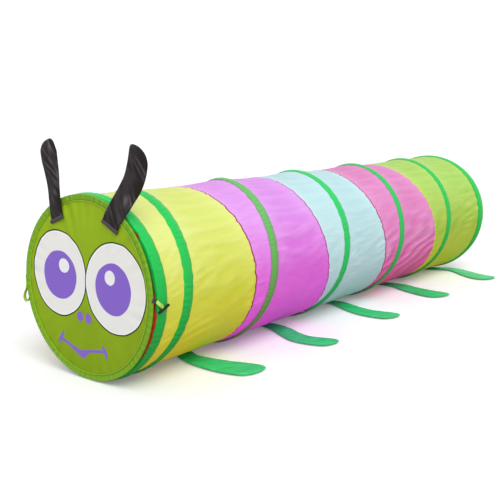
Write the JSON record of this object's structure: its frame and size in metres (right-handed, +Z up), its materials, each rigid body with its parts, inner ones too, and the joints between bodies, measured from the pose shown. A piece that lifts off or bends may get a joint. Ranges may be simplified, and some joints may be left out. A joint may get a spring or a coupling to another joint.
{
  "type": "play tunnel",
  "caption": "Pop-up crawl tunnel of bright cloth panels on a coiled spring wire, with a garden bug's face as its door, stuffed antennae and flat cloth legs.",
  "frame": {"origin": "on the floor under the middle of the front hoop's sleeve, at the head end", "axes": "+Y along the tunnel from the head to the open tail, +X to the right of someone who faces the door from outside, +Z up"},
  "size_m": [0.66, 1.8587, 0.5858],
  "materials": {
    "front_hoop_steel": "satin",
    "tail_hoop_steel": "satin",
    "spring_steel": "satin",
    "door_steel": "satin",
    "sleeve_satin": "satin",
    "yellow_cloth": "satin",
    "purple_cloth": "satin",
    "blue_cloth": "satin",
    "pink_cloth": "satin",
    "green_cloth": "satin",
    "seam_tape": "matte",
    "facing_tape": "matte",
    "face_cloth": "satin",
    "rim_cloth": "satin",
    "piping_cloth": "satin",
    "antenna_nylon": "satin",
    "leg_satin": "satin",
    "tie_ribbon": "satin",
    "tie_plastic": "matte",
    "tie_patch": "matte"
  },
  "bodies": {
    "front_hoop": {"front_hoop_wire": "front_hoop_steel", "front_hoop_sleeve": "sleeve_satin", "door_facing": "facing_tape", "spring_wire": "spring_steel", "spring_sleeve": "sleeve_satin"},
    "segment_1": {"panel_yellow": "yellow_cloth", "seam_binding_1": "seam_tape"},
    "segment_2": {"panel_purple": "purple_cloth", "seam_binding_2": "seam_tape"},
    "segment_3": {"panel_blue": "blue_cloth", "seam_binding_3": "seam_tape"},
    "segment_4": {"panel_pink": "pink_cloth", "seam_binding_4": "seam_tape"},
    "segment_5": {"panel_green": "green_cloth"},
    "tail_hoop": {"tail_hoop_wire": "tail_hoop_steel", "tail_hoop_sleeve": "sleeve_satin"},
    "door": {"head_face": "face_cloth", "door_rim_binding": "rim_cloth", "door_wire": "door_steel", "face_piping": "piping_cloth", "antenna_left_hem": "antenna_nylon", "antenna_right_hem": "antenna_nylon", "tie_patch_left": "tie_patch", "tie_patch_right": "tie_patch"},
    "antenna_left": {"antenna_left": "antenna_nylon"},
    "antenna_right": {"antenna_right": "antenna_nylon"},
    "tie_left": {"tie_ribbon_left": "tie_ribbon", "tie_bar_left": "tie_plastic"},
    "tie_right": {"tie_ribbon_right": "tie_ribbon", "tie_bar_right": "tie_plastic"},
    "leg_1_left": {"leg_1_left": "leg_satin"},
    "leg_1_right": {"leg_1_right": "leg_satin"},
    "leg_2_left": {"leg_2_left": "leg_satin"},
    "leg_2_right": {"leg_2_right": "leg_satin"},
    "leg_3_left": {"leg_3_left": "leg_satin"},
    "leg_3_right": {"leg_3_right": "leg_satin"},
    "leg_4_left": {"leg_4_left": "leg_satin"},
    "leg_4_right": {"leg_4_right": "leg_satin"},
    "leg_5_left": {"leg_5_left": "leg_satin"},
    "leg_5_right": {"leg_5_right": "leg_satin"}
  },
  "joints": [
    {"name": "tunnel_collapse", "type": "slide", "parent": "front_hoop", "child": "tail_hoop", "axis": [0, 1, 0], "range_m": [-1.73, 0], "stiffness_N_per_m": 12, "springref_m": 0.25, "deforming": ["spring_wire", "spring_sleeve", "panel_yellow", "panel_purple", "panel_blue", "panel_pink", "panel_green", "seam_binding_1", "seam_binding_2", "seam_binding_3", "seam_binding_4", "leg_1_left", "leg_1_right", "leg_2_left", "leg_2_right", "leg_3_left", "leg_3_right", "leg_4_left", "leg_4_right", "leg_5_left", "leg_5_right"]},
    {"name": "segment_1_slide", "type": "slide", "parent": "front_hoop", "child": "segment_1", "axis": [0, 1, 0], "range_m": [-0.2768, 0]},
    {"name": "segment_2_slide", "type": "slide", "parent": "front_hoop", "child": "segment_2", "axis": [0, 1, 0], "range_m": [-0.6228, 0]},
    {"name": "segment_3_slide", "type": "slide", "parent": "front_hoop", "child": "segment_3", "axis": [0, 1, 0], "range_m": [-0.9688, 0]},
    {"name": "segment_4_slide", "type": "slide", "parent": "front_hoop", "child": "segment_4", "axis": [0, 1, 0], "range_m": [-1.3148, 0]},
    {"name": "segment_5_slide", "type": "slide", "parent": "front_hoop", "child": "segment_5", "axis": [0, 1, 0], "range_m": [-1.6608, 0]},
    {"name": "door_hinge", "type": "hinge", "parent": "front_hoop", "child": "door", "pos_m": [0, -0.0168, 0.45825], "axis": [-1, 0, 0], "range_deg": [0, 90]},
    {"name": "antenna_left_fold", "type": "hinge", "parent": "door", "child": "antenna_left", "pos_m": [-0.09154, -0.02975, 0.39553], "axis": [1, 0, 0], "range_deg": [0, 165]},
    {"name": "antenna_right_fold", "type": "hinge", "parent": "door", "child": "antenna_right", "pos_m": [0.09154, -0.02975, 0.39553], "axis": [1, 0, 0], "range_deg": [0, 165]},
    {"name": "tie_left_swing", "type": "hinge", "parent": "door", "child": "tie_left", "pos_m": [-0.22942, -0.0178, 0.22912], "axis": [0, 0, 1], "range_deg": [0, 90]},
    {"name": "tie_right_swing", "type": "hinge", "parent": "door", "child": "tie_right", "pos_m": [0.22942, -0.0178, 0.22912], "axis": [0, 0, -1], "range_deg": [0, 90]},
    {"name": "leg_1_left_flap", "type": "hinge", "parent": "segment_1", "child": "leg_1_left", "pos_m": [-0.03111, 0.2778, 0.006], "axis": [0, 1, 0], "range_deg": [-85, 8]},
    {"name": "leg_1_right_flap", "type": "hinge", "parent": "segment_1", "child": "leg_1_right", "pos_m": [0.03111, 0.2778, 0.006], "axis": [0, -1, 0], "range_deg": [-85, 8]},
    {"name": "leg_2_left_flap", "type": "hinge", "parent": "segment_2", "child": "leg_2_left", "pos_m": [-0.03111, 0.6438, 0.006], "axis": [0, 1, 0], "range_deg": [-85, 8]},
    {"name": "leg_2_right_flap", "type": "hinge", "parent": "segment_2", "child": "leg_2_right", "pos_m": [0.03111, 0.6438, 0.006], "axis": [0, -1, 0], "range_deg": [-85, 8]},
    {"name": "leg_3_left_flap", "type": "hinge", "parent": "segment_3", "child": "leg_3_left", "pos_m": [-0.03111, 1.0098, 0.006], "axis": [0, 1, 0], "range_deg": [-85, 8]},
    {"name": "leg_3_right_flap", "type": "hinge", "parent": "segment_3", "child": "leg_3_right", "pos_m": [0.03111, 1.0098, 0.006], "axis": [0, -1, 0], "range_deg": [-85, 8]},
    {"name": "leg_4_left_flap", "type": "hinge", "parent": "segment_4", "child": "leg_4_left", "pos_m": [-0.03111, 1.3758, 0.006], "axis": [0, 1, 0], "range_deg": [-85, 8]},
    {"name": "leg_4_right_flap", "type": "hinge", "parent": "segment_4", "child": "leg_4_right", "pos_m": [0.03111, 1.3758, 0.006], "axis": [0, -1, 0], "range_deg": [-85, 8]},
    {"name": "leg_5_left_flap", "type": "hinge", "parent": "segment_5", "child": "leg_5_left", "pos_m": [-0.03111, 1.7418, 0.006], "axis": [0, 1, 0], "range_deg": [-85, 8]},
    {"name": "leg_5_right_flap", "type": "hinge", "parent": "segment_5", "child": "leg_5_right", "pos_m": [0.03111, 1.7418, 0.006], "axis": [0, -1, 0], "range_deg": [-85, 8]}
  ],
  "couplings": [
    {"joint": "segment_1_slide", "follows": "tunnel_collapse", "ratio": 0.16},
    {"joint": "segment_2_slide", "follows": "tunnel_collapse", "ratio": 0.36},
    {"joint": "segment_3_slide", "follows": "tunnel_collapse", "ratio": 0.56},
    {"joint": "segment_4_slide", "follows": "tunnel_collapse", "ratio": 0.76},
    {"joint": "segment_5_slide", "follows": "tunnel_collapse", "ratio": 0.96}
  ]
}
